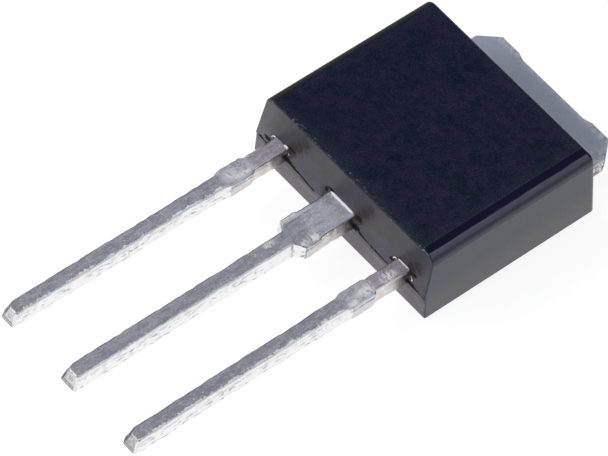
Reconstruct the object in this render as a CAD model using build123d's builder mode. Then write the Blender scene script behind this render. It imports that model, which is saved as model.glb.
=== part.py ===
"""Power MOSFET in a three-lead TO-251 package with long straight leads.

Millimetres. The transistor lies on its back face, with the marked face up: +Z up, z = 0 on the
back face, x = 0 along the middle lead, y = 0 at the middle of the moulding, leads towards -Y and
heat-sink tab towards +Y. Everything but the leads' outer lengths, the tab and the back of the die
pad is buried in the moulding.
"""

import os
from math import radians, tan

from build123d import *

# ---- moulded body --------------------------------------------------------------------------------
body_width = 6.48  # across the leads, at the back face
body_length = 6.02  # from the lead side at the parting plane to the tab side at the back face
body_height = 2.34
parting_height = 0.87  # the parting plane is the underside of the leads
side_draft = 3.0  # degrees; the two long sides
back_draft = 10.6  # tab side
front_draft = 2.9  # lead side above the parting plane
lower_front_draft = 8.0  # lead side below the parting plane
crown_radius = 0.24  # polished round along the two long top edges
front_edge_radius = 0.05  # top edge and upright corners of the lead side
back_edge_radius = 0.14  # top edge and upright corners of the tab side
parting_step = 0.03  # the upper mould half stands proud of the lower on the lead side
groove_height = 0.05  # notch left under that step
groove_depth = 0.04

# ---- stamped copper strip, shared by the drain frame and both outer leads ------------------------
strip_thickness = 0.47
lead_pitch = 2.29
lead_length = 8.86  # from the moulding to the tip
tip_slope = 11.0  # degrees; the cut-off end leans back
tip_corner_radius = 0.09  # upright corners of the cut-off end
edge_break = 0.055  # rounding of the strip's upper edges outside the moulding
flare_start = 3.45  # from here towards the dam bar the leg widens slightly
root_length = 1.08  # stretch between moulding and dam bar
dam_bar_start = 1.17
outer_dam_bar_end = 1.86
outer_shoulder_end = 2.04
middle_dam_bar_end = 1.60
middle_shoulder_end = 1.80
outer_root_width = 0.54  # widths are at the strip's lower face
outer_dam_bar_width = 0.63
outer_leg_width = 0.52
outer_flare = 0.025  # how much wider each side of the leg is where it meets the dam bar
outer_root_set_in = 0.025  # set-in is how far each side leans in by the upper face
outer_dam_bar_set_in = 0.01
outer_leg_set_in = 0.04
middle_root_width = 1.07
middle_dam_bar_width = 1.11
middle_leg_width = 0.59
middle_flare = 0.02
middle_root_set_in = 0.05
middle_dam_bar_set_in = 0.02
middle_leg_set_in = 0.065

# ---- drain frame: tab and die pad ----------------------------------------------------------------
tab_width = 4.93
tab_reach = 1.54  # beyond the moulding
tab_corner_width = 0.45  # the cut-off corners, across and along
tab_corner_length = 0.55
tab_recess_width = 2.30
tab_recess_depth = 0.085
tab_recess_flare = 0.23
tab_edge_break = 0.06
pad_front_margin = 1.26  # moulding left between the lead side and the bare pad
lip_height = 0.22  # the pad overhangs from here up, so that the moulding grips it
lip_reach = 0.22
lip_back_margin = 0.45  # moulding between the lip's end and the tab side
groove_back_margin = 0.75  # locking groove across the pad, measured from the tab side
lock_groove_width = 0.30
lock_groove_depth = 0.12
neck_slope = 65.0  # degrees; climb from the pad to the level of the leads
neck_bend_radius = 0.32  # of the neck's middle line

# ---- bond pads of the outer leads ----------------------------------------------------------------
bond_pad_depth = 0.78
bond_pad_inset = 0.27  # moulding between lead side and bond pad
side_wall = 0.24  # moulding between bond pad and long side
neck_gap = 0.42  # between bond pad and the drain frame's neck
bond_pad_corner = 0.10
lock_hole_radius = 0.15
lock_hole_inset = 0.34  # from the bond pad's outer end

# ---- die and wires -------------------------------------------------------------------------------
die_width = 2.90
die_length = 2.50
die_thickness = 0.20
die_back_margin = 1.30  # from the die to the tab side
solder_thickness = 0.05
solder_border = 0.10  # solder showing round the die
source_wire_diameter = 0.38
gate_wire_diameter = 0.15
loop_height = 0.30  # rise of a wire above its bond on the lead
foot_spread = 1.35  # width of a wedge bond, in wire diameters
foot_squash = 0.60  # height of a wedge bond, in wire diameters
foot_stretch = 1.9  # length of a wedge bond, in wire diameters
wire_climb = 0.42  # the loop's peak comes after this share of the span
wire_bend = 0.42  # middle-line bend radius at the peak
wire_clearance = 0.01  # between the round wire and the face that its wedge bond sits on
source_wire_starts = ((0.35, 0.62), (1.00, 0.62))  # on the die, measured from its middle and its front edge
gate_wire_start = (-1.05, 0.30)
source_wire_ends = (0.36, 1.02)  # on the bond pad, measured from its inner end
gate_wire_end = 0.45

# ---- derived places ------------------------------------------------------------------------------
front = -body_length / 2
back = body_length / 2
upper_height = body_height - parting_height
strip_top = parting_height + strip_thickness
lead_embedment = bond_pad_inset + bond_pad_corner  # how deep a lead's outer section starts
bare_pad_front = front + pad_front_margin
tab_end = back + tab_reach
neck_foot = bare_pad_front - neck_bend_radius * tan(radians(neck_slope / 2))
neck_head = neck_foot - parting_height / tan(radians(neck_slope))
die_top = strip_thickness + solder_thickness + die_thickness
die_front = back - die_back_margin - die_length


def set_back(height, draft):
    """Horizontal run of a face that leans by draft degrees over a height."""
    return height * tan(radians(draft))


def mirrored_outline(stations, centre_x):
    """Closed outline, symmetric about centre_x, through (y, half width) stations."""
    right = [(centre_x + half_width, y) for y, half_width in stations]
    left = [(centre_x - half_width, y) for y, half_width in reversed(stations)]
    return right + left


def lead_leg(centre_x, lower, upper):
    """Outer length of a lead, lofted between the outlines of the strip's lower and upper faces."""
    with BuildPart() as leg:
        for level, stations in ((parting_height, lower), (strip_top, upper)):
            with BuildSketch(Plane.XY.offset(level)):
                with BuildLine():
                    Polyline(*mirrored_outline(stations, centre_x), close=True)
                make_face()
        loft(ruled=True)
        tip_face = leg.faces().sort_by(Axis.Y)[0]
        fillet(tip_face.edges().filter_by(Axis.X, reverse=True), tip_corner_radius)
        upper_face = leg.faces().sort_by(Axis.Z)[-1]
        fillet(upper_face.edges().sort_by(Axis.Y)[:-1], edge_break)
    return leg.part


def lead_stations(root, dam_bar, leg, flare, dam_bar_end, shoulder_end, tip):
    """(y, half width) stations of a lead from inside the moulding to its tip."""
    return [
        (front + lead_embedment, root),
        (front - root_length, root),
        (front - dam_bar_start, dam_bar),
        (front - dam_bar_end, dam_bar),
        (front - shoulder_end, leg + flare),
        (front - flare_start, leg),
        (front - tip, leg),
    ]


tip_top = lead_length - set_back(strip_thickness, tip_slope)

outer_lower = lead_stations(
    outer_root_width / 2,
    outer_dam_bar_width / 2,
    outer_leg_width / 2,
    outer_flare,
    outer_dam_bar_end,
    outer_shoulder_end,
    lead_length,
)
outer_upper = lead_stations(
    outer_root_width / 2 - outer_root_set_in,
    outer_dam_bar_width / 2 - outer_dam_bar_set_in,
    outer_leg_width / 2 - outer_leg_set_in,
    outer_flare,
    outer_dam_bar_end,
    outer_shoulder_end,
    tip_top,
)
middle_lower = lead_stations(
    middle_root_width / 2,
    middle_dam_bar_width / 2,
    middle_leg_width / 2,
    middle_flare,
    middle_dam_bar_end,
    middle_shoulder_end,
    lead_length,
)
middle_upper = lead_stations(
    middle_root_width / 2 - middle_root_set_in,
    middle_dam_bar_width / 2 - middle_dam_bar_set_in,
    middle_leg_width / 2 - middle_leg_set_in,
    middle_flare,
    middle_dam_bar_end,
    middle_shoulder_end,
    tip_top,
)

gate_leg = lead_leg(-lead_pitch, outer_lower, outer_upper)
source_leg = lead_leg(lead_pitch, outer_lower, outer_upper)
middle_leg = lead_leg(0, middle_lower, middle_upper)


# ---- drain frame: tab, die pad, downset neck and middle lead in one stamping ---------------------
with BuildPart() as drain_frame:
    # tab and bare pad
    with BuildSketch(Plane.XY):
        with BuildLine():
            Polyline(
                *mirrored_outline(
                    [
                        (bare_pad_front, tab_width / 2),
                        (tab_end - tab_corner_length, tab_width / 2),
                        (tab_end, tab_width / 2 - tab_corner_width),
                        (tab_end, tab_recess_width / 2 + tab_recess_flare),
                        (tab_end - tab_recess_depth, tab_recess_width / 2),
                    ],
                    0,
                ),
                close=True,
            )
        make_face()
    extrude(amount=strip_thickness)
    upper_rim = drain_frame.faces().sort_by(Axis.Z)[-1].edges().sort_by(Axis.Y)[1:]
    fillet(upper_rim, tab_edge_break)
    # lip that the moulding grips
    with BuildSketch(Plane.XY.offset(lip_height)):
        with BuildLine():
            Polyline(
                *mirrored_outline(
                    [
                        (bare_pad_front - lip_reach, tab_width / 2 + lip_reach),
                        (back - lip_back_margin, tab_width / 2 + lip_reach),
                    ],
                    0,
                ),
                close=True,
            )
        make_face()
    extrude(amount=strip_thickness - lip_height)
    # locking groove across the pad
    with BuildSketch(Plane.YZ):
        with Locations((back - groove_back_margin, strip_thickness)):
            with BuildLine():
                Polyline(
                    (-lock_groove_width / 2, 0),
                    (0, -lock_groove_depth),
                    (lock_groove_width / 2, 0),
                    close=True,
                )
            make_face()
    extrude(amount=tab_width / 2 + lip_reach, both=True, mode=Mode.SUBTRACT)
    # neck that climbs from the pad to the level of the leads
    with BuildSketch(Plane.YZ):
        with BuildLine():
            FilletPolyline(
                (bare_pad_front + strip_thickness, strip_thickness / 2),
                (neck_foot, strip_thickness / 2),
                (neck_head, parting_height + strip_thickness / 2),
                (front + lead_embedment - edge_break, parting_height + strip_thickness / 2),
                radius=neck_bend_radius,
            )
        trace(line_width=strip_thickness)
    extrude(amount=middle_root_width / 2, both=True)
    add(middle_leg)
drain_frame.part.label = "drain_frame"


def outer_lead(leg, inner_end, outer_end):
    """One outer lead: its outer length and the bond pad that holds it in the moulding."""
    pad_front = front + bond_pad_inset
    with BuildPart() as lead:
        with BuildSketch(Plane.XY.offset(parting_height)) as pad:
            with BuildLine():
                Polyline(
                    (inner_end, pad_front),
                    (outer_end, pad_front),
                    (outer_end, pad_front + bond_pad_depth),
                    (inner_end, pad_front + bond_pad_depth),
                    close=True,
                )
            make_face()
            fillet(pad.vertices(), bond_pad_corner)
            towards_middle = 1 if inner_end > outer_end else -1
            with Locations((outer_end + towards_middle * lock_hole_inset, pad_front + bond_pad_depth / 2)):
                Circle(lock_hole_radius, mode=Mode.SUBTRACT)
        extrude(amount=strip_thickness)
        add(leg)
    return lead.part


pad_inner_x = middle_root_width / 2 + neck_gap
pad_outer_x = body_width / 2 - set_back(strip_top, side_draft) - side_wall
bond_row_y = front + bond_pad_inset + bond_pad_depth / 2

with BuildPart() as gate_lead:
    add(outer_lead(gate_leg, -pad_inner_x, -pad_outer_x))
gate_lead.part.label = "gate_lead"

with BuildPart() as source_lead:
    add(outer_lead(source_leg, pad_inner_x, pad_outer_x))
source_lead.part.label = "source_lead"


# ---- die and die attach --------------------------------------------------------------------------
die_middle_y = die_front + die_length / 2

with BuildPart() as die_solder:
    with BuildSketch(Plane.XY.offset(strip_thickness)):
        with Locations((0, die_middle_y)):
            Rectangle(die_width + 2 * solder_border, die_length + 2 * solder_border)
    extrude(amount=solder_thickness)
die_solder.part.label = "die_solder"

with BuildPart() as mosfet_die:
    with BuildSketch(Plane.XY.offset(strip_thickness + solder_thickness)):
        with Locations((0, die_middle_y)):
            Rectangle(die_width, die_length)
    extrude(amount=die_thickness)
mosfet_die.part.label = "mosfet_die"


# ---- bond wires ----------------------------------------------------------------------------------
def bond_wire(start, end, diameter):
    """Aluminium wire with a wedge bond at each end, looped in the upright plane through both bonds."""
    first = Vector(start[0], start[1], die_top)
    last = Vector(end[0], end[1], strip_top)
    along = Vector(last.X - first.X, last.Y - first.Y, 0)
    span = along.length
    rise = last.Z - first.Z
    axis_height = diameter / 2 + wire_clearance
    half_foot = foot_stretch * diameter / 2
    apex = rise + axis_height + loop_height
    upright = Plane(origin=first, x_dir=along, z_dir=along.cross(Vector(0, 0, 1)))
    with BuildPart() as wire:
        with BuildLine(upright) as route:
            FilletPolyline(
                (0, axis_height),
                (span * wire_climb, apex),
                (span, rise + axis_height),
                radius=wire_bend,
            )
        with BuildSketch(Plane(origin=route.line @ 0, z_dir=route.line % 0)):
            Circle(diameter / 2)
        sweep(path=route.line)
        for bond in (first, last):
            with BuildSketch(Plane(origin=bond, x_dir=along)):
                Rectangle(2 * half_foot, foot_spread * diameter)
            extrude(amount=foot_squash * diameter)
    return wire.part


source_bonds = []
for (die_x, die_inset), pad_inset in zip(source_wire_starts, source_wire_ends):
    source_bonds.append(((die_x, die_front + die_inset), (pad_inner_x + pad_inset, bond_row_y)))

with BuildPart() as source_wire_1:
    add(bond_wire(*source_bonds[0], source_wire_diameter))
source_wire_1.part.label = "source_wire_1"

with BuildPart() as source_wire_2:
    add(bond_wire(*source_bonds[1], source_wire_diameter))
source_wire_2.part.label = "source_wire_2"

gate_bond_start = (gate_wire_start[0], die_front + gate_wire_start[1])
gate_bond_end = (-pad_inner_x - gate_wire_end, bond_row_y)
with BuildPart() as gate_wire:
    add(bond_wire(gate_bond_start, gate_bond_end, gate_wire_diameter))
gate_wire.part.label = "gate_wire"


# ---- moulded body --------------------------------------------------------------------------------
half_bottom = body_width / 2
half_top = half_bottom - set_back(body_height, side_draft)
step_front = front + parting_step
buried_pieces = (
    drain_frame,
    gate_lead,
    source_lead,
    die_solder,
    mosfet_die,
    gate_wire,
    source_wire_1,
    source_wire_2,
)


def mould_half(side_view):
    """Section of the moulding across the leads, cut to one half's side view and rounded at the lead side."""
    with BuildPart() as half:
        with BuildSketch(Plane.XZ) as cross_section:
            with BuildLine():
                Polyline(
                    (-half_bottom, 0),
                    (half_bottom, 0),
                    (half_top, body_height),
                    (-half_top, body_height),
                    close=True,
                )
            make_face()
            fillet(cross_section.vertices().group_by(Axis.Y)[-1], crown_radius)
        extrude(amount=body_length, both=True)
        with BuildSketch(Plane.YZ):
            with BuildLine():
                Polyline(*side_view, close=True)
            make_face()
        extrude(amount=body_width, both=True, mode=Mode.INTERSECT)
        lead_side = half.faces().sort_by(Axis.Y)[0]
        fillet(lead_side.edges().filter_by(Axis.X, reverse=True), front_edge_radius)
    return half.part


back_at_parting = back - set_back(parting_height, back_draft)
lower_side_view = [
    (step_front + set_back(parting_height, lower_front_draft), 0),
    (step_front, parting_height),
    (back_at_parting, parting_height),
    (back, 0),
]
upper_side_view = [
    (front, parting_height),
    (front + set_back(upper_height, front_draft), body_height),
    (back - set_back(body_height, back_draft), body_height),
    (back_at_parting, parting_height),
]

with BuildPart() as mould_body:
    add(mould_half(lower_side_view))
    add(mould_half(upper_side_view))
    tab_side = mould_body.faces().sort_by(Axis.Y)[-1]
    fillet(tab_side.edges().filter_by(Axis.X, reverse=True), back_edge_radius)
    # groove under the step
    with BuildSketch(Plane.YZ):
        with BuildLine():
            Polyline(
                (front, parting_height),
                (step_front, parting_height),
                (step_front + groove_depth, parting_height - groove_height / 2),
                (step_front, parting_height - groove_height),
                (front, parting_height - groove_height),
                close=True,
            )
        make_face()
    extrude(amount=body_width, both=True, mode=Mode.SUBTRACT)
    # what the compound flowed round
    for buried in buried_pieces:
        add(buried.part, mode=Mode.SUBTRACT)
mould_body.part.label = "mould_body"


os.makedirs("parts", exist_ok=True)
export_step(mould_body.part, "parts/mould_body.step")
export_step(drain_frame.part, "parts/drain_frame.step")
export_step(gate_lead.part, "parts/gate_lead.step")
export_step(source_lead.part, "parts/source_lead.step")
export_step(die_solder.part, "parts/die_solder.step")
export_step(mosfet_die.part, "parts/mosfet_die.step")
export_step(gate_wire.part, "parts/gate_wire.step")
export_step(source_wire_1.part, "parts/source_wire_1.step")
export_step(source_wire_2.part, "parts/source_wire_2.step")
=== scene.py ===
"""Looks of the TO-251 power MOSFET round its CAD frame: materials, worn leads, flash, floor, lamps, camera.

Places and sizes are millimetres of the part's own frame; they turn into metres where objects are made.
"""

import math
from types import SimpleNamespace

import bmesh
import bpy
from mathutils import Matrix, Vector, noise


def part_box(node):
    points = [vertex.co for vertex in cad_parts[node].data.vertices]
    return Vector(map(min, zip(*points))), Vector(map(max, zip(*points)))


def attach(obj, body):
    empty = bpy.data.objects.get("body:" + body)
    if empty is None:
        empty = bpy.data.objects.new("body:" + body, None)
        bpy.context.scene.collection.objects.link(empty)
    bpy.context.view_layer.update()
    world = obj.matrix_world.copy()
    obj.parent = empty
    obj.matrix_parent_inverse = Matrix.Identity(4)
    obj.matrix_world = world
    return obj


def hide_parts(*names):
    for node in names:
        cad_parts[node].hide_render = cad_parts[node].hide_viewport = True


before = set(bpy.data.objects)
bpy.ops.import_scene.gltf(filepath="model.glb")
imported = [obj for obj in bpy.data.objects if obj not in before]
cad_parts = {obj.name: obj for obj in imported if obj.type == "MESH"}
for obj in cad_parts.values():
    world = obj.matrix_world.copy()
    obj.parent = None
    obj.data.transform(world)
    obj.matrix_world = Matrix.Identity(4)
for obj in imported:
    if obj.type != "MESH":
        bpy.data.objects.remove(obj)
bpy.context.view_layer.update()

# ---- places of the frame -------------------------------------------------------------------------
MM = 0.001
BODY_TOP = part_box("mould_body")[1].z / MM
BODY_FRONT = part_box("mould_body")[0].y / MM  # the lead side
BODY_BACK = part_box("mould_body")[1].y / MM
STRIP_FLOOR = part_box("gate_lead")[0].z / MM
STRIP_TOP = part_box("gate_lead")[1].z / MM
LEAD_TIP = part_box("gate_lead")[0].y / MM
TAB_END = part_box("drain_frame")[1].y / MM

# sizes of the part that its boxes don't give
LEAD_PITCH = 2.29
DAM_BAR_BACK = BODY_FRONT - 1.17  # the stubs of the cut dam bar, along the leads
DAM_BAR_FRONT = BODY_FRONT - 1.86
MIDDLE_DAM_BAR_FRONT = BODY_FRONT - 1.60
MIDDLE_ROOT_HALF = 0.53
LEG_HALF = 0.26
FRONT_DRAFT = 2.9  # degrees, as the lead side above the parting plane leans

WHITE = (1.0, 1.0, 1.0)
SPOT_RAGGEDNESS = 1.6  # how far a spot's edge wanders, as a share of its radii
STREAK_WANDER = 0.10  # how far a streak's middle line wanders


# ---- node helpers --------------------------------------------------------------------------------
class Nodes:
    """Node tree of a material or world, emptied and filled by small calls."""

    def __init__(self, owner, output):
        owner.use_nodes = True
        self.tree = owner.node_tree
        self.tree.nodes.clear()
        self.out = self.add(output)

    def put(self, socket, value):
        """Links a socket to another node's output or sets it to a number or colour."""
        if isinstance(value, bpy.types.NodeSocket):
            self.tree.links.new(value, socket)
        elif socket.type == "RGBA":
            socket.default_value = (*value[:3], 1.0)
        else:
            socket.default_value = value

    def add(self, kind, **inputs):
        """New node with its named inputs filled."""
        node = self.tree.nodes.new(kind)
        for name, value in inputs.items():
            self.put(node.inputs[name], value)
        return node

    def math(self, operation, a, b=0.0, c=0.0):
        node = self.add("ShaderNodeMath")
        node.operation = operation
        for socket, value in zip(node.inputs, (a, b, c)):
            self.put(socket, value)
        return node.outputs[0]

    def both(self, *masks):
        """Product of masks and numbers."""
        value = masks[0]
        for mask in masks[1:]:
            value = self.math("MULTIPLY", value, mask)
        return value

    def either(self, *masks):
        """Largest of masks and numbers."""
        value = masks[0]
        for mask in masks[1:]:
            value = self.math("MAXIMUM", value, mask)
        return value

    def outside(self, mask):
        """1 where the mask is 0, and the other way round."""
        return self.math("SUBTRACT", 1.0, mask)


class Shader(Nodes):
    """Material whose patterns and masks depend on the place on the part, in millimetres."""

    def __init__(self, name):
        self.material = bpy.data.materials.new(name)
        super().__init__(self.material, "ShaderNodeOutputMaterial")
        place = self.add("ShaderNodeTexCoord").outputs["Object"]
        self.place = self.vector("SCALE", place, scale=1 / MM)
        self.x, self.y, self.z = self.split(self.place)
        normal = self.add("ShaderNodeNewGeometry").outputs["Normal"]
        self.facing_x, self.facing_y, self.facing_z = self.split(normal)

    def split(self, vector):
        return self.add("ShaderNodeSeparateXYZ", Vector=vector).outputs

    def vector(self, operation, a, b=None, scale=None):
        node = self.add("ShaderNodeVectorMath")
        node.operation = operation
        self.put(node.inputs[0], a)
        if b is not None:
            self.put(node.inputs[1], b)
        if scale is not None:
            node.inputs["Scale"].default_value = scale
        return node.outputs["Value"] if operation == "LENGTH" else node.outputs["Vector"]

    def step(self, value, low, high):
        """0 at low, 1 at high, smooth between; low may be above high."""
        flip = low > high
        node = self.add("ShaderNodeMapRange")
        node.interpolation_type = "SMOOTHSTEP"
        node.clamp = True
        self.put(node.inputs["Value"], value)
        node.inputs["From Min"].default_value = min(low, high)
        node.inputs["From Max"].default_value = max(low, high)
        node.inputs["To Min"].default_value = 1.0 if flip else 0.0
        node.inputs["To Max"].default_value = 0.0 if flip else 1.0
        return node.outputs["Result"]

    def band(self, value, low, high, soft):
        """1 between low and high, fading to 0 over soft on each side."""
        return self.both(self.step(value, low - soft, low), self.step(value, high + soft, high))

    def wander(self, ragged, width):
        """Noise turned into a shift of up to half of width either way."""
        return self.math("MULTIPLY_ADD", ragged, width, -width / 2)

    def spot(self, centre, radii, soft, ragged):
        """1 inside an ellipsoid, fading to 0 at its surface, which the ragged noise eats into."""
        away = self.vector("SUBTRACT", self.place, centre)
        away = self.vector("LENGTH", self.vector("DIVIDE", away, radii))
        away = self.math("ADD", away, self.wander(ragged, SPOT_RAGGEDNESS))
        return self.step(away, 1.0, 1.0 - soft)

    def streak(self, start, stop, width, ragged):
        """1 along a line on the lead side between two (x, z) places; it tapers and its width wanders."""
        share = self.math("DIVIDE", self.math("SUBTRACT", self.x, start[0]), stop[0] - start[0])
        middle = self.math("MULTIPLY_ADD", share, stop[1] - start[1], start[1])
        middle = self.math("ADD", middle, self.wander(ragged, STREAK_WANDER))
        gap = self.math("ABSOLUTE", self.math("SUBTRACT", self.z, middle))
        taper = self.band(share, 0.15, 0.85, 0.15)
        reach = self.both(taper, self.math("MULTIPLY_ADD", ragged, 1.2 * width, -0.1 * width))
        return self.both(self.step(self.math("SUBTRACT", gap, reach), 0.012, -0.006), taper)

    def noise(self, scale, detail=2.0, stretch=(1, 1, 1), offset=(0, 0, 0), rough=0.5):
        """Noise with features about 1/scale mm across; stretch makes them longer along an axis."""
        place = self.vector("MULTIPLY", self.place, tuple(scale / s for s in stretch))
        place = self.vector("ADD", place, offset)
        node = self.add("ShaderNodeTexNoise", Scale=1.0, Detail=detail, Roughness=rough, Vector=place)
        return node.outputs["Fac"]

    def mix(self, factor, a, b, kind="RGBA"):
        """Colour between a and b."""
        node = self.add("ShaderNodeMix")
        node.data_type = kind
        for name, value in (("Factor", factor), ("A", a), ("B", b)):
            self.put(node.inputs[name], value)
        return node.outputs["Result"]

    def blend(self, factor, a, b):
        """Number between a and b."""
        return self.mix(factor, a, b, kind="FLOAT")

    def coats(self, colour, *layers):
        """Colour under layers, each a (mask, colour), laid on in turn."""
        for mask, over in layers:
            colour = self.mix(mask, colour, over)
        return colour

    def tint(self, colour, *factors):
        """Colour times numbers."""
        factor = self.both(*factors)
        grey = self.add("ShaderNodeCombineXYZ", X=factor, Y=factor, Z=factor)
        return self.vector("MULTIPLY", colour, grey.outputs[0])

    def bump(self, height, strength, distance):
        node = self.add("ShaderNodeBump", Strength=strength, Distance=distance * MM, Height=height)
        return node.outputs["Normal"]

    def surface(self, colour, roughness, metallic=0.0, **more):
        """Ends the material; more are other inputs of the Principled shader."""
        node = self.add("ShaderNodeBsdfPrincipled", Roughness=roughness, Metallic=metallic)
        self.put(node.inputs["Base Color"], colour)
        for name, value in more.items():
            self.put(node.inputs[name.replace("_", " ")], value)
        self.put(self.out.inputs["Surface"], node.outputs[0])
        return self.material


# In the functions that build materials, s is the Shader, n holds its noises and at its masks.


# ---- moulding compound ---------------------------------------------------------------------------
MATT_RIGHT = 2.665  # the matt field of the marked face ends here, short of the right edge
MATT_LEFT = -2.95  # and here, at the left edge's round
STRIP_END = 2.92  # where the flat of the polished strip ends and its round starts
CROWN_DEPTH = 0.26  # the polished round reaches this far down from the marked face
PARTING_SHADE = (0.66, 0.80)  # heights of the soft shade under the parting step
SIDE_LIGHT_FADE = (1.35, 0.10)  # heights between which painted light makes the sides lighter, downwards
FRONT_LIGHT_FADE = (1.85, 1.35)  # and the lead side
FOOT_LIGHT_FADE = (0.28, 0.05)  # and the lead side's foot

FIELD_TEAL = (0.0036, 0.0088, 0.0302)
FIELD_PURPLE = (0.0052, 0.0069, 0.0315)
FIELD_RIM = (0.0120, 0.0170, 0.0420)  # the field is lighter along its edges
FIELD_BITE = (0.042, 0.038, 0.052)
FIELD_SPECK = (0.16, 0.17, 0.19)
POLISHED_TONE = (0.0040, 0.0055, 0.0240)
WITNESS_HIGHLIGHT = (0.030, 0.032, 0.052)
ROUND_TONE = (0.007, 0.007, 0.009)
SIDE_TOP = (0.007, 0.017, 0.064)
# the sides' lighter tone at the foot is painted light
SIDE_FOOT_PAINTED_LIGHT = (0.108, 0.104, 0.146)
FRONT_TONE = (0.033, 0.029, 0.048)
# the lead side's lighter tone below the leads is painted light
FRONT_FOOT_PAINTED_LIGHT = (0.112, 0.094, 0.122)
FRONT_END_PAINTED_LIGHT = (0.088, 0.090, 0.108)  # the lead side's left end, lighter by painted light
STAIN = (0.018, 0.014, 0.014)
# near black of the scars, and painted shade in the crevices
SCAR_AND_CREVICE_SHADE_TONE = (0.002, 0.002, 0.002)

# tints of what the faces mirror
FIELD_GLOSS_LOW = (0.15, 0.15, 0.15)
FIELD_GLOSS_HIGH = (1.85, 1.85, 1.85)
EDGE_GLOSS = (0.25, 0.25, 0.25)
POLISHED_GLOSS = (1.13, 1.16, 1.47)
STAIN_GLOSS = (1.0, 0.95, 0.92)

# (x and z where it starts, x and z where it ends, width) of the crevices along the parting line, painted dark
# as their shade
CREVICES = [
    ((-3.14, 0.86), (-2.66, 0.81), 0.12),
    ((-1.98, 0.98), (-1.38, 0.86), 0.09),
    ((-1.54, 0.88), (-0.92, 0.77), 0.15),
    ((0.66, 0.97), (1.20, 0.84), 0.08),
    ((1.06, 0.85), (1.94, 0.80), 0.13),
    ((2.62, 0.93), (3.22, 0.81), 0.09),
]
# (centre, radii) of dark scars and of brownish stains where the leads leave the moulding
SCARS = [
    ((-2.72, BODY_FRONT, 1.04), (0.22, 0.2, 0.09)),
    ((-1.98, BODY_FRONT, 0.98), (0.20, 0.2, 0.10)),
    ((0.59, BODY_FRONT, 1.00), (0.16, 0.2, 0.15)),
    ((0.62, BODY_FRONT, 1.36), (0.16, 0.2, 0.11)),
    ((1.92, BODY_FRONT, 1.14), (0.10, 0.2, 0.10)),
    ((2.66, BODY_FRONT, 0.93), (0.22, 0.2, 0.10)),
    ((2.64, BODY_FRONT, 1.30), (0.20, 0.2, 0.07)),
    ((-1.98, BODY_FRONT, 1.42), (0.18, 0.2, 0.06)),
    ((-0.44, BODY_FRONT, 1.42), (0.16, 0.2, 0.05)),
    ((-0.58, BODY_FRONT, 1.30), (0.07, 0.2, 0.12)),
]
STAINS = [
    ((-1.90, BODY_FRONT, 1.46), (0.22, 0.3, 0.34)),
    ((-1.74, BODY_FRONT, 1.74), (0.26, 0.3, 0.38)),
    ((-1.56, BODY_FRONT, 1.98), (0.26, 0.3, 0.36)),
    ((0.60, BODY_FRONT, 1.44), (0.22, 0.3, 0.34)),
    ((0.74, BODY_FRONT, 1.70), (0.24, 0.3, 0.36)),
    ((0.88, BODY_FRONT, 1.94), (0.22, 0.3, 0.32)),
    ((2.56, BODY_FRONT, 1.46), (0.26, 0.3, 0.34)),
    ((2.74, BODY_FRONT, 1.66), (0.26, 0.3, 0.36)),
    ((-0.62, BODY_FRONT, 1.10), (0.20, 0.3, 0.40)),
]


def mould_noises(s):
    return SimpleNamespace(
        grain=s.noise(26.0, detail=3.0, rough=0.7),
        fleck=s.noise(13.0, detail=4.0, offset=(9, 2, 4), rough=0.7),
        blotch=s.noise(5.0, detail=3.0, offset=(2, 5, 6), rough=0.6),
        cloud=s.noise(1.7, detail=3.0, offset=(3, 7, 1)),
        ragged=s.noise(9.0, detail=4.0, offset=(1, 8, 5), rough=0.65),
        drawn=s.noise(9.0, detail=3.0, stretch=(1, 7, 1), offset=(6, 1, 2)),
        waves=s.noise(1.6, detail=2.0, stretch=(1, 2.2, 1), offset=(4, 3, 3)),
        breaks=s.noise(6.0, detail=1.0, stretch=(1, 3, 1)),
        specks=s.noise(15.0, detail=2.0, offset=(2, 2, 7)),
    )


def mould_zones(s, n):
    """Masks of the moulding's differently finished faces and of the scars, stains and painted crevice shade
    on its lead side.
    """
    at = SimpleNamespace()
    at.top = s.step(s.z, BODY_TOP - 0.048, BODY_TOP - 0.020)
    at.marked = s.both(
        at.top,
        s.step(s.x, MATT_RIGHT, MATT_RIGHT - 0.012),
        s.step(s.x, MATT_LEFT, MATT_LEFT + 0.04),
    )
    at.polished = s.both(
        s.step(s.z, BODY_TOP - CROWN_DEPTH, BODY_TOP - CROWN_DEPTH + 0.05),
        s.step(s.x, MATT_RIGHT, MATT_RIGHT + 0.012),
        s.step(s.y, BODY_FRONT + 0.08, BODY_FRONT + 0.12),
    )
    # rounds of the back and left edges
    at.rounds = s.both(
        s.step(s.z, BODY_TOP - 0.16, BODY_TOP - 0.10),
        s.either(
            s.step(s.y, BODY_BACK - 0.20, BODY_BACK - 0.12),
            s.step(s.x, MATT_LEFT + 0.04, MATT_LEFT),
        ),
    )
    at.lead_side = s.both(
        s.step(s.y, BODY_FRONT + 0.24, BODY_FRONT + 0.18),
        s.step(s.math("ABSOLUTE", s.facing_x), 0.75, 0.55),
        s.step(s.z, BODY_TOP - 0.020, BODY_TOP - 0.060),
    )
    crevices = [s.streak(start, stop, width, n.ragged) for start, stop, width in CREVICES]
    scars = [s.spot(centre, radii, 0.45, n.ragged) for centre, radii in SCARS]
    stains = [s.spot(centre, radii, 0.8, n.ragged) for centre, radii in STAINS]
    at.dirt = s.both(s.either(*crevices, *scars), at.lead_side)
    at.stained = s.both(s.either(*stains), at.lead_side)
    return at


def field_shade(s, n):
    """Fine grain over soft clouds, 0 to 1."""
    fine = s.blend(0.55, s.step(n.grain, 0.3, 0.7), s.step(n.fleck, 0.3, 0.7))
    soft = s.blend(0.45, s.step(n.blotch, 0.32, 0.68), s.step(n.cloud, 0.32, 0.68))
    return s.blend(0.5, fine, soft)


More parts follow.
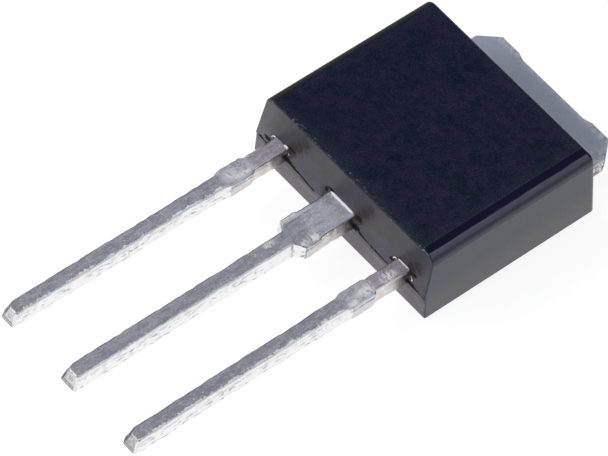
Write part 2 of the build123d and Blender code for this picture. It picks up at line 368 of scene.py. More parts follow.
def field_colour(s, n, shade):
    """Matt field of the marked face: clouds between teal and purple, lighter along its edges."""
    clouds = s.step(s.math("MULTIPLY_ADD", n.blotch, 0.5, n.cloud), 0.62, 0.88)
    field = s.tint(s.mix(clouds, FIELD_TEAL, FIELD_PURPLE), s.blend(shade, 0.72, 1.28))
    rim = s.either(
        s.step(s.y, BODY_FRONT + 0.62, BODY_FRONT + 0.12),
        s.both(s.step(s.x, MATT_LEFT + 0.40, MATT_LEFT + 0.10), 0.6),
        s.both(s.step(s.x, MATT_RIGHT - 0.35, MATT_RIGHT - 0.05), 0.5),
        s.both(s.step(s.y, BODY_BACK - 0.95, BODY_BACK - 0.60), 0.6),
    )
    return s.mix(rim, field, FIELD_RIM)


def side_colour(s, n):
    """Satin sides, purplish and lighter towards the foot by painted light."""
    side = s.mix(s.step(s.z, *SIDE_LIGHT_FADE), SIDE_TOP, SIDE_FOOT_PAINTED_LIGHT)
    return s.tint(side, s.blend(n.cloud, 0.60, 1.40), s.blend(n.blotch, 0.80, 1.20))


def front_colour(s, n):
    """Lead side: painted light makes it lighter below the leads, at its foot, lower down and at its left end;
    painted shade darkens it under the parting step.
    """
    front = s.mix(s.step(s.z, STRIP_FLOOR - 0.03, STRIP_FLOOR - 0.09), FRONT_TONE, FRONT_FOOT_PAINTED_LIGHT)
    front = s.mix(s.step(s.x, MATT_LEFT + 0.50, MATT_LEFT), front, FRONT_END_PAINTED_LIGHT)
    return s.tint(
        front,
        s.blend(n.fleck, 0.5, 1.5),
        s.blend(n.blotch, 0.7, 1.3),
        s.blend(s.step(n.cloud, 0.3, 0.7), 0.72, 1.28),
        s.blend(s.step(s.z, *FRONT_LIGHT_FADE), 0.94, 1.32),
        s.blend(s.step(s.z, *FOOT_LIGHT_FADE), 1.0, 1.3),
        s.blend(s.band(s.z, *PARTING_SHADE, 0.07), 1.0, 0.25),
    )


def witness_highlight(s, n, at):
    """Broken painted highlight between the matt field and the polished strip."""
    line = s.band(s.x, MATT_RIGHT - 0.012, MATT_RIGHT + 0.008, 0.010)
    return s.both(line, at.top, s.step(n.breaks, 0.20, 0.50))


def field_bites(s, n):
    """Bites of the tool in the marked face's front edge."""
    ahead = s.math("SUBTRACT", s.y, s.math("MULTIPLY_ADD", n.fleck, 0.50, BODY_FRONT - 0.165))
    return s.both(s.step(ahead, 0.012, -0.012), s.step(s.z, BODY_TOP - 0.08, BODY_TOP - 0.04))


def edge_specks(s, n):
    """Light specks along the marked face's front edge."""
    brink = s.both(
        s.band(s.y, BODY_FRONT, BODY_FRONT + 0.18, 0.03),
        s.step(s.z, BODY_TOP - 0.10, BODY_TOP - 0.04),
    )
    return s.both(brink, s.step(n.specks, 0.60, 0.68))


def mould_colour(s, n, at, shade):
    return s.coats(
        side_colour(s, n),
        (at.lead_side, front_colour(s, n)),
        (at.marked, field_colour(s, n, shade)),
        (at.polished, POLISHED_TONE),
        (s.both(at.rounds, s.outside(at.lead_side)), ROUND_TONE),
        # painted highlight along the matt field's right edge
        (s.both(witness_highlight(s, n, at), 0.8), WITNESS_HIGHLIGHT),
        (s.both(field_bites(s, n), 0.9), FIELD_BITE),
        (edge_specks(s, n), FIELD_SPECK),
        (s.both(at.stained, 0.85), STAIN),
        # scars, and painted shade in the parting-line crevices
        (at.dirt, SCAR_AND_CREVICE_SHADE_TONE),
    )


def mould_roughness(s, n, at):
    rough = s.blend(at.marked, s.blend(n.cloud, 0.26, 0.34), s.blend(s.step(n.grain, 0.3, 0.7), 0.20, 0.33))
    polish = s.blend(s.step(s.x, STRIP_END - 0.10, STRIP_END + 0.06), 0.10, 0.27)
    for mask, value in ((at.polished, polish), (at.rounds, 0.65), (at.stained, 0.6), (at.dirt, 0.95)):
        rough = s.blend(mask, rough, value)
    return rough


def mould_relief(s, n, at):
    """Grain, sunken scars and crevices, and drawn waves on the polished strip, which falls off before its
    round.
    """
    height = s.blend(at.polished, s.math("MULTIPLY_ADD", n.fleck, 0.8, n.grain), n.drawn)
    fall = s.both(at.polished, s.step(s.x, STRIP_END - 0.10, STRIP_END + 0.14))
    for mask, depth in ((at.dirt, -2.0), (fall, -2.6), (s.both(at.polished, n.waves), 1.6)):
        height = s.math("MULTIPLY_ADD", mask, depth, height)
    return s.bump(height, 0.5, 0.012)


def mould_gloss(s, at, shade):
    """Tint of what the faces mirror."""
    field_gloss = s.mix(s.both(at.marked, shade), FIELD_GLOSS_LOW, FIELD_GLOSS_HIGH)
    front_edge = s.both(at.marked, s.step(s.y, BODY_FRONT + 0.13, BODY_FRONT + 0.10))
    return s.coats(
        WHITE,
        (at.marked, field_gloss),
        (front_edge, EDGE_GLOSS),
        (at.polished, POLISHED_GLOSS),
        (at.stained, STAIN_GLOSS),
    )


def mould_material():
    s = Shader("mould_compound")
    n = mould_noises(s)
    at = mould_zones(s, n)
    shade = field_shade(s, n)
    colour = mould_colour(s, n, at, shade)
    gloss = mould_gloss(s, at, shade)
    return s.surface(colour, mould_roughness(s, n, at), Normal=mould_relief(s, n, at), Specular_Tint=gloss)


# ---- tinned copper -------------------------------------------------------------------------------
TIN_DULL = (0.40, 0.41, 0.47)
TIN_PLAIN = (0.57, 0.58, 0.67)
TIN_PALE = (0.76, 0.77, 0.85)
TIN_BRIGHT = (0.97, 0.97, 0.99)
TIN_SIDE = (0.91, 0.90, 0.91)
TIN_DASH = (0.36, 0.35, 0.37)
TIN_BEIGE = (0.66, 0.60, 0.58)
TIN_GREY = (0.18, 0.18, 0.20)
TIN_SHADE = (0.07, 0.07, 0.08)
TIP_PIT = (0.34, 0.33, 0.34)
TIP_TONE = (0.70, 0.69, 0.70)
TAB_DULL = (0.44, 0.50, 0.62)
TAB_PLAIN = (0.54, 0.57, 0.67)
TAB_HEM = (0.88, 0.87, 0.90)
WARM_TINT = (1.06, 0.97, 0.98)
SOURCE_FROM = (1.0, 1.4)  # x between the middle and the source lead, where their tones part
TAB_LEFT_FADE = (-1.0, -2.3)  # x between which the tab grows lighter
TAB_RIGHT_HEM = (1.9, 2.35)

# (centre, radii) of the bright rubbed patches on top of the leads
RUBBED = [
    ((-2.14, -4.45, STRIP_TOP), (0.14, 0.50, 0.1)),
    ((-2.30, -4.72, STRIP_TOP), (0.20, 0.30, 0.1)),
    ((0.38, -4.26, STRIP_TOP), (0.26, 0.26, 0.1)),
    ((0.40, -4.58, STRIP_TOP), (0.20, 0.20, 0.1)),
    ((-0.48, -4.36, STRIP_TOP), (0.12, 0.36, 0.1)),
    ((-0.52, -3.90, STRIP_TOP), (0.09, 0.60, 0.1)),
    ((2.34, -4.32, STRIP_TOP), (0.24, 0.44, 0.1)),
    ((2.46, -4.80, STRIP_TOP), (0.14, 0.30, 0.1)),
    ((2.34, -3.55, STRIP_TOP), (0.20, 0.40, 0.1)),
    ((-0.12, -5.35, STRIP_TOP), (0.14, 0.26, 0.1)),
]
PRESSED_WIDTH = 0.16  # of the pale band along the middle lead's left edge
# (centre, radii) of a pressed pale corner and of a paler patch at the root of the middle lead
PRESSED_CORNER = ((-0.50, DAM_BAR_FRONT + 0.30, STRIP_TOP), (0.17, 0.30, 0.2))
ROOT_LANDING = ((0.20, BODY_FRONT - 0.42, STRIP_TOP), (0.50, 0.50, 0.2))


def tin_noises(s):
    return SimpleNamespace(
        mottle=s.noise(9.0, detail=4.0, stretch=(1, 1.5, 1), rough=0.7),
        brushed=s.noise(11.0, detail=4.0, stretch=(1, 4.0, 1), offset=(4, 6, 2), rough=0.65),
        fine=s.noise(24.0, detail=3.0, stretch=(1, 1.6, 1), offset=(3, 1, 9), rough=0.65),
        dash=s.noise(13.0, detail=3.0, stretch=(1, 2.6, 1.0), offset=(7, 3, 1), rough=0.6),
        cloud=s.noise(1.3, detail=2.0, offset=(5, 1, 2)),
        spell=s.noise(1.6, detail=2.0, stretch=(1, 1.4, 1), offset=(2, 9, 3)),
        smear=s.noise(15.0, detail=4.0, stretch=(2.6, 1, 1), offset=(5, 2, 8), rough=0.65),
        glints=s.noise(19.0, detail=2.0, stretch=(1, 1.8, 1), offset=(8, 8, 2)),
    )


def tin_zones(s):
    """Masks of the faces and stretches of the leads; across is the place across each lead."""
    at = SimpleNamespace()
    at.across = s.math("WRAP", s.x, LEAD_PITCH / 2, -LEAD_PITCH / 2)
    at.outer = s.step(s.math("ABSOLUTE", s.x), LEAD_PITCH / 2 - 0.1, LEAD_PITCH / 2)
    at.source = s.step(s.x, *SOURCE_FROM)
    at.top = s.step(s.facing_z, 0.72, 0.90)
    at.flank = s.step(s.math("ABSOLUTE", s.facing_x), 0.80, 0.95)
    at.end = s.both(s.step(s.facing_y, -0.55, -0.8), s.step(s.y, LEAD_TIP + 0.22, LEAD_TIP + 0.18))
    at.near_tip = s.step(s.y, LEAD_TIP + 0.9, LEAD_TIP + 0.2)
    at.leg = s.step(s.y, DAM_BAR_FRONT - 0.15, DAM_BAR_FRONT - 0.35)
    at.dam = s.band(s.y, DAM_BAR_FRONT, DAM_BAR_BACK, 0.05)
    at.root = s.step(s.y, DAM_BAR_BACK - 0.1, DAM_BAR_BACK + 0.1)
    # shoulders of the dam bar stubs, facing the tips, and the rounded upper edges
    at.shoulder = s.both(s.step(s.facing_y, -0.45, -0.75), s.step(s.y, LEAD_TIP + 1.0, LEAD_TIP + 1.5))
    plain = s.outside(at.shoulder)
    at.left_round = s.both(s.band(s.facing_x, -0.85, -0.25, 0.08), plain)
    at.right_round = s.both(s.band(s.facing_x, 0.30, 0.85, 0.06), plain)
    # fillets and slivers that stand above the strip are painted white as a highlight
    at.clean = s.both(
        s.step(s.z, STRIP_TOP + 0.001, STRIP_TOP + 0.008),
        s.step(s.y, BODY_BACK, BODY_FRONT + 0.2),
    )
    at.tab = s.both(s.step(s.y, BODY_BACK - 0.2, BODY_BACK - 0.1), s.outside(at.flank))
    return at


def rolled_top(s, n, at):
    """Upper face: grey, mottled, faintly brushed along the lead, pale on the dam bar stubs and lighter at the
    roots by painted light.
    """
    colour = s.mix(s.step(n.brushed, 0.34, 0.66), TIN_DULL, TIN_PLAIN)
    colour = s.tint(colour, s.blend(s.step(n.fine, 0.30, 0.70), 0.80, 1.20), s.blend(n.mottle, 0.80, 1.20))
    pale = s.both(
        s.step(s.y, DAM_BAR_FRONT - 0.25, DAM_BAR_FRONT),
        s.step(s.y, DAM_BAR_BACK + 0.25, DAM_BAR_BACK),
        at.outer,
        s.step(n.mottle, 0.36, 0.60),
    )
    colour = s.mix(pale, colour, TIN_PALE)
    # painted light: the tops are lighter at the roots, making up for the dark moulding they mirror there
    root_light_lift = s.blend(at.root, 1.0, s.blend(at.outer, 1.26, 1.10))
    source_tone = s.blend(at.source, 1.0, s.blend(at.root, 0.94, 0.87))
    colour = s.tint(colour, root_light_lift, source_tone)
    warm = s.either(s.both(at.near_tip, 0.5), s.both(at.root, at.outer))
    return s.mix(warm, colour, s.vector("MULTIPLY", colour, WARM_TINT))


def pressed_top(s, n, at):
    """Upper face with pale patches and a pale band, beside a crease, pressed along the middle lead's edge."""
    wide = s.both(
        s.step(s.y, MIDDLE_DAM_BAR_FRONT - 0.05, MIDDLE_DAM_BAR_FRONT + 0.10),
        s.step(s.y, BODY_FRONT - 0.45, BODY_FRONT - 0.95),
        s.outside(at.outer),
    )
    edge = s.math("MULTIPLY_ADD", n.mottle, 0.08, PRESSED_WIDTH - MIDDLE_ROOT_HALF)
    beside = s.math("SUBTRACT", at.across, edge)
    corner = s.spot(*PRESSED_CORNER, 0.4, n.mottle)
    landing = s.spot(*ROOT_LANDING, 0.9, n.mottle)
    pressed = s.either(s.both(wide, s.step(beside, 0.015, -0.01)), corner, s.both(landing, 0.45))
    crease = s.both(wide, s.band(beside, 0.0, 0.015, 0.012), s.step(n.fine, 0.40, 0.55))
    return s.coats(rolled_top(s, n, at), (s.both(pressed, 0.95), TIN_PALE), (crease, TIN_GREY))


def sheared_flank(s, n, at):
    """Flanks: near white with grey dashes in two rows, dull on the dam bar stubs, beige beyond them, with
    painted grey shade under the upper edge.
    """
    upper_row = s.band(s.z, STRIP_FLOOR + 0.19, STRIP_FLOOR + 0.26, 0.05)
    lower_row = s.band(s.z, STRIP_FLOOR + 0.02, STRIP_FLOOR + 0.05, 0.03)
    rows = s.either(s.both(upper_row, 0.95), lower_row, 0.30)
    dashes = s.both(s.step(n.dash, 0.50, 0.64), rows, s.blend(s.step(n.cloud, 0.36, 0.56), 0.35, 0.95))
    beige = s.step(s.y, DAM_BAR_BACK - 0.75, DAM_BAR_BACK + 0.1)
    # painted shade: a grey line under the upper edge, below its highlight
    shade_under_edge = s.both(
        s.band(s.z, STRIP_TOP - 0.17, STRIP_TOP - 0.10, 0.03),
        s.either(at.dam, s.both(s.step(n.spell, 0.62, 0.45), 0.4)),
        s.step(n.mottle, 0.38, 0.55),
    )
    return s.coats(
        TIN_SIDE,
        (dashes, TIN_DASH),
        (s.both(at.dam, 0.42), TIN_DASH),
        (s.both(beige, s.blend(n.mottle, 0.7, 1.1)), TIN_BEIGE),
        (s.both(beige, s.step(n.dash, 0.50, 0.62), 0.6), TIN_SIDE),
        (s.both(shade_under_edge, 0.75), TIN_GREY),
    )


def shoulder_corner_shade(s, at):
    """Painted shade in the corner of the middle lead's right shoulder."""
    return s.both(
        s.band(s.y, MIDDLE_DAM_BAR_FRONT - 0.010, MIDDLE_DAM_BAR_FRONT + 0.005, 0.012),
        s.step(at.across, MIDDLE_ROOT_HALF - 0.12, MIDDLE_ROOT_HALF - 0.06),
        s.outside(s.either(at.outer, at.top)),
    )


def root_shade(s, n, at):
    """Painted shade where the flanks meet the moulding, broken up by mottling."""
    return s.both(at.flank, s.step(s.y, BODY_FRONT - 0.42, BODY_FRONT - 0.05), s.step(n.mottle, 0.40, 0.58))


def cut_tip(s, n, at):
    """Sheared tips: pitted, darker on the source lead, with a burr along the foot and painted shade along the
    right edge.
    """
    tip = s.mix(s.step(s.blend(0.5, n.mottle, n.fine), 0.36, 0.60), TIP_PIT, TIP_TONE)
    tip = s.tint(tip, s.blend(at.source, 1.0, 0.80))
    burr = s.either(
        s.band(s.z, STRIP_FLOOR, STRIP_FLOOR + 0.025, 0.015),
        s.both(s.band(s.z, STRIP_FLOOR + 0.085, STRIP_FLOOR + 0.100, 0.02), s.step(n.mottle, 0.3, 0.5)),
    )
    right_corner_shade = s.step(at.across, LEG_HALF - 0.10, LEG_HALF - 0.05)
    return s.coats(tip, (s.both(burr, 0.9), TIN_GREY), (s.both(right_corner_shade, 0.8), TIN_GREY))


def bite_highlights(s, n, at):
    """Painted highlights on the bites along the legs' right upper edge, fewer near the tips and on the middle
    leg.
    """
    inset = s.blend(at.outer, 0.05, 0.0)
    calm = s.both(s.step(s.y, LEAD_TIP + 3.5, LEAD_TIP + 1.0), s.outside(at.source))
    bitten = s.both(
        s.step(s.math("SUBTRACT", at.across, inset), 0.04, 0.23),
        s.blend(s.step(n.spell, 0.35, 0.62), 0.55, 1.30),
        s.blend(calm, 1.0, 0.7),
    )
    ragged = s.math("MULTIPLY_ADD", bitten, 0.32, s.blend(0.45, n.mottle, n.fine))
    return s.both(s.step(ragged, 0.66, 0.72), at.leg, at.top)


def wear_and_highlights(s, n, at):
    """Rubbed patches, with painted highlights: glints and the bites along the right edge."""
    rubbed = [s.spot(centre, radii, 0.8, n.mottle) for centre, radii in RUBBED]
    worn = s.both(s.either(*rubbed), s.step(n.smear, 0.40, 0.53))
    shining = s.both(s.either(worn, s.step(n.glints, 0.68, 0.74)), at.top)
    return s.either(shining, bite_highlights(s, n, at))


def left_edge_shade(s, n, at):
    """Painted shade: a dark outline along the leads' left upper edge."""
    brink = s.both(at.leg, at.top, s.step(at.across, 0.035 - LEG_HALF, 0.015 - LEG_HALF))
    return s.both(s.either(at.left_round, brink), s.blend(s.step(n.spell, 0.40, 0.58), 0.9, 0.3))


def tab_colour(s, n):
    """Tab: smooth plating, lighter to the left and along its hem."""
    tone = s.tint(
        s.mix(n.cloud, TAB_DULL, TAB_PLAIN),
        s.blend(s.step(s.x, *TAB_LEFT_FADE), 1.0, 1.30),
        s.blend(n.fine, 0.90, 1.10),
        s.blend(n.mottle, 0.88, 1.12),
    )
    hem = s.either(s.step(s.y, TAB_END - 0.30, TAB_END - 0.10), s.step(s.x, *TAB_RIGHT_HEM))
    return s.mix(s.both(hem, s.step(n.mottle, 0.35, 0.62), 0.7), tone, TAB_HEM)


def tin_colour(s, n, at, wear_and_highlight):
    torn = s.mix(s.step(n.dash, 0.32, 0.42), TIN_GREY, TIN_SIDE)
    # painted highlight along the leads' right upper edges
    right_round_highlight = s.mix(s.step(n.fine, 0.34, 0.50), TIN_PALE, TIN_BRIGHT)
    return s.coats(
        pressed_top(s, n, at),
        (at.flank, sheared_flank(s, n, at)),
        (at.shoulder, torn),
        (s.both(shoulder_corner_shade(s, at), 0.7), TIN_GREY),
        (s.both(root_shade(s, n, at), 0.8), TIN_SHADE),
        (at.end, cut_tip(s, n, at)),
        # rubbed wear, and painted highlights of glints and bites
        (wear_and_highlight, TIN_BRIGHT),
        (left_edge_shade(s, n, at), TIN_SHADE),
        (s.both(at.right_round, s.blend(at.dam, 0.9, 0.4)), right_round_highlight),
        # painted highlight on the fillets
        (at.clean, TIN_BRIGHT),
        (at.tab, tab_colour(s, n)),
    )


def tin_material():
    s = Shader("tinned_copper")
    n = tin_noises(s)
    at = tin_zones(s)
    wear_and_highlight = wear_and_highlights(s, n, at)
    metallic = s.blend(at.top, s.blend(at.right_round, 1.0, 0.8), s.blend(n.mottle, 0.60, 0.30))
    metallic = s.blend(s.either(wear_and_highlight, at.clean), metallic, 0.0)
    rough = s.blend(at.top, s.blend(n.mottle, 0.22, 0.36), s.blend(n.mottle, 0.42, 0.55))
    relief = s.bump(s.math("MULTIPLY_ADD", n.fine, 0.5, n.mottle), 0.6, 0.014)
    return s.surface(tin_colour(s, n, at, wear_and_highlight), rough, metallic, Normal=relief)


# ---- buried materials ----------------------------------------------------------------------------
SOLDER_TONES = ((0.45, 0.45, 0.46), (0.62, 0.62, 0.63))
SILICON_TONES = ((0.16, 0.17, 0.20), (0.22, 0.23, 0.27))
WIRE_TONES = ((0.72, 0.72, 0.73), (0.86, 0.86, 0.87))


def solder_material():
    s = Shader("solder")
    grain = s.noise(12.0, detail=3.0)
    return s.surface(s.mix(grain, *SOLDER_TONES), 0.38, 1.0, Normal=s.bump(grain, 0.3, 0.01))


def silicon_material():
    s = Shader("silicon")
    grain = s.noise(20.0, detail=2.0)
    return s.surface(s.mix(grain, *SILICON_TONES), s.blend(grain, 0.15, 0.25), 0.6)


def wire_material():
    s = Shader("bond_aluminium")
    drawn = s.noise(40.0, detail=2.0, stretch=(1, 8, 1))
    return s.surface(s.mix(drawn, *WIRE_TONES), 0.28, 1.0, Normal=s.bump(drawn, 0.2, 0.004))


MATERIALS = {
    "mould_body": mould_material(),
    "drain_frame": tin_material(),
    "die_solder": solder_material(),
    "mosfet_die": silicon_material(),
    "gate_wire": wire_material(),
}
MATERIALS["gate_lead"] = MATERIALS["source_lead"] = MATERIALS["drain_frame"]
MATERIALS["source_wire_1"] = MATERIALS["source_wire_2"] = MATERIALS["gate_wire"]
for node, material in MATERIALS.items():
    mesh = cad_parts[node].data
    mesh.materials.clear()
    mesh.materials.append(material)


# ---- pieces made here ----------------------------------------------------------------------------
def add_piece(name, mesh, material):
    """Smooth object of a mesh that rides on the part."""
    mesh.materials.append(material)
    for face in mesh.polygons:
        face.use_smooth = True
    piece = bpy.data.objects.new(name, mesh)
    bpy.context.scene.collection.objects.link(piece)
    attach(piece, "root")
    return piece


# ---- worn leads ----------------------------------------------------------------------------------
CUT_EVERY = 0.07  # along the leads
DENT = 0.032  # the deepest nick in a sheared edge
TIP_CUT = 0.10  # the upper left corner of each cut-off end is knocked in by this much
TIP_CUT_LENGTH = 0.30
DENTS_FADE = 0.4  # length over which the nicks fade out towards the moulding
CORE_HALF = 0.15  # closer to a lead's middle line than this, its wear fades out
SHARP_ANGLE = 32  # degrees


def nick(seed, y, height):
    """Depth of wear, 0 to 1, along one flank of a lead."""
    slow = noise.noise(Vector((seed, 1.7 * y, 0.9 * height)))
    quick = noise.noise(Vector((seed + 31.0, 5.5 * y, 2.0 * height)))
    return min(max(0.45 + 0.50 * slow + 0.55 * quick, 0.0), 1.0)


def worn_place(x, y, z, seed):
    """Where wear takes a place on a lead: inwards from its flank and down from its upper face."""
    middle = LEAD_PITCH * round(x / LEAD_PITCH)
    flank = math.copysign(1.0, x - middle)
    height = (z - STRIP_FLOOR) / (STRIP_TOP - STRIP_FLOOR)
    fade = min((BODY_FRONT - CUT_EVERY - y) / DENTS_FADE, 1.0)
    inwards = DENT * fade * nick(seed + 13 * flank + middle, y, height)
    if flank < 0:
        near_tip = max(1 - (y - LEAD_TIP) / TIP_CUT_LENGTH, 0.0)
        inwards += TIP_CUT * near_tip * max(2 * height - 0.9, 0.0)
    share = min(abs(x - middle) / CORE_HALF, 1.0)
    if height > 0.8:
        z -= 0.5 * DENT * fade * nick(seed + 57 + 5 * flank, y, 0.0)
    return x - flank * inwards * share, y, z


def worn_copy(node, seed):
    """The node's solid with nicks worn into its leads; it never grows past its old faces."""
    mesh = bmesh.new()
    mesh.from_mesh(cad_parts[node].data)
    y = LEAD_TIP + CUT_EVERY
    while y < BODY_FRONT - CUT_EVERY:
        everything = mesh.verts[:] + mesh.edges[:] + mesh.faces[:]
        bmesh.ops.bisect_plane(mesh, geom=everything, plane_co=(0, y * MM, 0), plane_no=(0, 1, 0), dist=1e-8)
        y += CUT_EVERY
    for vertex in mesh.verts:
        x, y, z = vertex.co / MM
        if y <= BODY_FRONT - CUT_EVERY:
            worn_x, _, worn_z = worn_place(x, y, z, seed)
            vertex.co.x = worn_x * MM
            vertex.co.z = worn_z * MM
    worn = bpy.data.meshes.new(node + "_worn")
    mesh.to_mesh(worn)
    mesh.free()
    piece = add_piece(node + "_worn", worn, MATERIALS[node])
    worn.set_sharp_from_angle(angle=math.radians(SHARP_ANGLE))
    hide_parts(node)


for number, node in enumerate(("gate_lead", "drain_frame", "source_lead")):
    worn_copy(node, 4.0 * number + 1)


# ---- tin where the leads leave the moulding ------------------------------------------------------
FILLET_STEPS = 40
FILLET_SINK = 0.01  # how deep a fillet sits in the strip
FLASH_STEPS = 14
FLASH_SIDES = 7

# (name, x where it starts and stops, size, seed) of the fillets across the leads' upper faces
FILLETS = [
    ("drain_root_fillet", -0.43, 0.42, 0.050, 3),
    ("gate_root_fillet", -2.20, -2.05, 0.040, 5),
    ("source_root_fillet", 2.09, 2.48, 0.018, 8),
]
# (name, (x, z) places on the lead side, thickness) of the slivers of flash
FLASH = [
    ("gate_flash", [(-2.66, 1.20), (-2.60, 1.31), (-2.53, 1.33), (-2.50, 1.27)], 0.018),
    ("source_flash", [(1.93, 1.20), (1.97, 1.29), (2.06, 1.30)], 0.018),
    ("source_flash_right", [(2.60, 1.20), (2.68, 1.12), (2.66, 1.05)], 0.020),
    ("gate_flash_right", [(-2.02, 1.22), (-1.96, 1.18)], 0.020),
]


def closed_tube(name, rings):
    """Tin skin over rings of equal length, given in millimetres, with both ends closed."""
    count = len(rings[0])
    points = [Vector(p) * MM for ring in rings for p in ring]
    faces = [tuple(reversed(range(count)))]
    for row in range(len(rings) - 1):
        for i in range(count):
            here, there = row * count + i, row * count + (i + 1) % count
            faces.append((here, there, there + count, here + count))
    last = (len(rings) - 1) * count
    faces.append(tuple(range(last, last + count)))
    mesh = bpy.data.meshes.new(name)
    mesh.from_pydata(points, [], faces)
    add_piece(name, mesh, MATERIALS["drain_frame"])


def lead_side_y(z):
    """The lead side of the moulding at height z, above the parting plane."""
    return BODY_FRONT + (z - STRIP_FLOOR) * math.tan(math.radians(FRONT_DRAFT))


def root_fillet(name, start, stop, size, seed):
    """Fillet that the plating left across a lead's upper face where it enters the moulding."""
    wall = lead_side_y(STRIP_TOP)
    rings = []
    for i in range(FILLET_STEPS + 1):
        share = i / FILLET_STEPS
        swell = max(1 - abs(2 * share - 1) ** 6, 0.02) ** 0.5
        wobble = 1 + 0.14 * noise.noise(Vector((seed, 9 * share, 0)))
        reach = size * swell * wobble
        x = start + (stop - start) * share
        rings.append([
            (x, wall + 0.03, STRIP_TOP - FILLET_SINK),
            (x, wall + 0.03, STRIP_TOP + reach),
            (x, wall - 0.15 * reach, STRIP_TOP + 0.95 * reach),
            (x, wall - 0.60 * reach, STRIP_TOP + 0.52 * reach),
            (x, wall - 1.00 * reach, STRIP_TOP + 0.04 * reach),
            (x, wall - 1.00 * reach, STRIP_TOP - FILLET_SINK),
        ])
    closed_tube(name, rings)


def flash_sliver(name, track, thickness, seed):
    """Thin curled sliver of flash on the lead side, thickest in its middle."""
    places = [Vector((x, lead_side_y(z) - 0.008, z)) for x, z in track]
    rings = []
    for i in range(FLASH_STEPS + 1):
        share = i / FLASH_STEPS * (len(places) - 1)
        stretch = min(int(share), len(places) - 2)
        centre = places[stretch].lerp(places[stretch + 1], share - stretch)
        along = (places[stretch + 1] - places[stretch]).normalized()
        across = along.cross(Vector((0, 1, 0))).normalized()
        out = along.cross(across)
        swell = 0.25 + math.sin(math.pi * i / FLASH_STEPS)
        girth = thickness * swell * (1 + 0.5 * noise.noise(Vector((seed, i * 0.9, 0))))
        ring = []
        for k in range(FLASH_SIDES):
            turn = 2 * math.pi * k / FLASH_SIDES
            ring.append(centre + girth * (math.cos(turn) * across + 0.6 * math.sin(turn) * out))
        rings.append(ring)
    closed_tube(name, rings)


for fillet in FILLETS:
    root_fillet(*fillet)
for number, sliver in enumerate(FLASH):
    flash_sliver(*sliver, number)


# ---- floor and surroundings ----------------------------------------------------------------------
FLOOR_HALF = 1.2  # metres
FLOOR_GAP = 0.00002  # metres between the floor and the part's back
FLOOR_TONE = (0.33, 0.33, 0.33)
FLOOR_LIFT = 0.86  # light of its own, unseen by diffuse rays
ROOM_COLOUR = (0.90, 0.93, 1.0)
ROOM_LEVEL = 0.09

# (name, direction, width and height in metres, radiance, colour, axis that the width is square to)
LAMPS = [
    ("back_softbox", (0.25, 0.484, 0.84), (0.54, 0.12), 2.1, (0.92, 0.95, 1.0), (0, 1, 0)),
    ("right_softbox", (0.80, 0.48, 0.36), (0.60, 0.50), 0.65, WHITE, (0, 0, 1)),
    ("left_softbox", (-0.80, -0.25, 0.65), (0.40, 0.40), 3.1, WHITE, (0, 0, 1)),
    ("front_softbox", (-0.30, -0.76, 0.56), (0.40, 0.34), 3.5, WHITE, (0, 0, 1)),
]
LAMP_DISTANCE = 0.6  # metres


def floor_material():
    """Pale paper that looks white to the camera and in reflections, and keeps the part's shadow."""
    material = bpy.data.materials.new("floor")
    tree = Nodes(material, "ShaderNodeOutputMaterial")
    path = tree.add("ShaderNodeLightPath").outputs
    seen = tree.either(path["Is Camera Ray"], path["Is Glossy Ray"], path["Is Transmission Ray"])
    paper = tree.add("ShaderNodeBsdfDiffuse", Color=FLOOR_TONE)
    lift = tree.add("ShaderNodeEmission", Color=WHITE, Strength=tree.both(seen, FLOOR_LIFT))
    together = tree.add("ShaderNodeAddShader")
    tree.put(together.inputs[0], paper.outputs[0])
    tree.put(together.inputs[1], lift.outputs[0])
    tree.put(tree.out.inputs["Surface"], together.outputs[0])
    return material


def make_floor():
    corners = [(-FLOOR_HALF, -FLOOR_HALF, 0), (FLOOR_HALF, -FLOOR_HALF, 0)]
    corners += [(FLOOR_HALF, FLOOR_HALF, 0), (-FLOOR_HALF, FLOOR_HALF, 0)]
    mesh = bpy.data.meshes.new("floor")
    mesh.from_pydata(corners, [], [(0, 1, 2, 3)])
    mesh.materials.append(floor_material())
    floor = bpy.data.objects.new("floor", mesh)
    floor.location.z = -FLOOR_GAP
    bpy.context.scene.collection.objects.link(floor)


def make_world():
    """White to the camera, a dim cool room to everything else."""
    world = bpy.data.worlds.new("studio")
    bpy.context.scene.world = world
    tree = Nodes(world, "ShaderNodeOutputWorld")
    room = tree.add("ShaderNodeBackground", Color=ROOM_COLOUR, Strength=ROOM_LEVEL)
    white = tree.add("ShaderNodeBackground", Color=WHITE)
    choice = tree.add("ShaderNodeMixShader")
    tree.put(choice.inputs[0], tree.add("ShaderNodeLightPath").outputs["Is Camera Ray"])
    tree.put(choice.inputs[1], room.outputs[0])
    tree.put(choice.inputs[2], white.outputs[0])
    tree.put(tree.out.inputs["Surface"], choice.outputs[0])


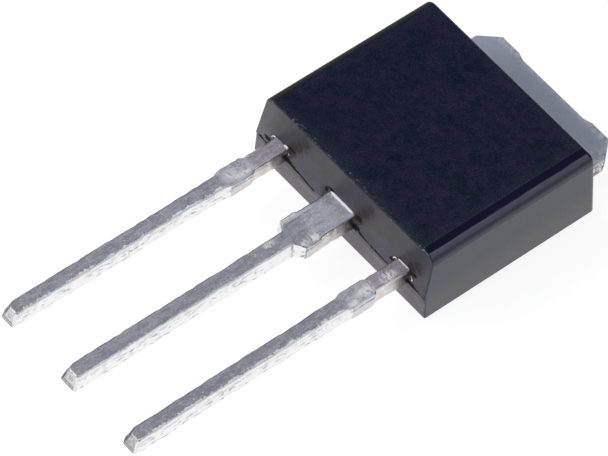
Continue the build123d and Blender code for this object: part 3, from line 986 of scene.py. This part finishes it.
def make_lamp(name, direction, size, radiance, colour, across):
    """Soft lamp that faces the part. A mirror would show its radiance."""
    data = bpy.data.lights.new(name, "AREA")
    data.shape = "RECTANGLE"
    data.size, data.size_y = size
    data.color = colour
    data.energy = radiance * math.pi * size[0] * size[1]
    lamp = bpy.data.objects.new(name, data)
    bpy.context.scene.collection.objects.link(lamp)
    towards = Vector(direction).normalized()
    wide = Vector(across).cross(towards).normalized()
    turn = Matrix((wide, towards.cross(wide), towards)).transposed().to_4x4()
    lamp.matrix_world = Matrix.Translation(towards * LAMP_DISTANCE) @ turn


make_floor()
make_world()
for lamp in LAMPS:
    make_lamp(*lamp)


# ---- camera --------------------------------------------------------------------------------------
CAMERA_AZIMUTH = 37.810  # degrees, from the lead side towards the right
CAMERA_ELEVATION = 52.222
CAMERA_ROLL = 13.536
CAMERA_TARGET = Vector((-0.010, BODY_FRONT, 1.0))
CAMERA_DISTANCE = 145.93
CAMERA_LEFT = 0.882  # how far the camera stands to the left of the target, and below it, in its own view
CAMERA_DOWN = 0.412
CAMERA_LENS = 348.55
CAMERA_SENSOR = 36


def make_camera():
    azimuth, elevation, roll = (math.radians(a) for a in (CAMERA_AZIMUTH, CAMERA_ELEVATION, CAMERA_ROLL))
    level = Vector((math.sin(azimuth), -math.cos(azimuth), 0))
    back = math.cos(elevation) * level + Vector((0, 0, math.sin(elevation)))
    flat_right = Vector((math.cos(azimuth), math.sin(azimuth), 0))
    flat_up = back.cross(flat_right)
    right = math.cos(roll) * flat_right + math.sin(roll) * flat_up
    up = math.cos(roll) * flat_up - math.sin(roll) * flat_right
    place = CAMERA_TARGET + back * CAMERA_DISTANCE - right * CAMERA_LEFT - up * CAMERA_DOWN
    data = bpy.data.cameras.new("camera")
    data.sensor_width = CAMERA_SENSOR
    data.lens = CAMERA_LENS
    data.clip_start = 0.01
    camera = bpy.data.objects.new("camera", data)
    bpy.context.scene.collection.objects.link(camera)
    turn = Matrix((right, up, back)).transposed().to_4x4()
    camera.matrix_world = Matrix.Translation(place * MM) @ turn
    bpy.context.scene.camera = camera


make_camera()
bpy.context.scene.view_settings.view_transform = "Standard"
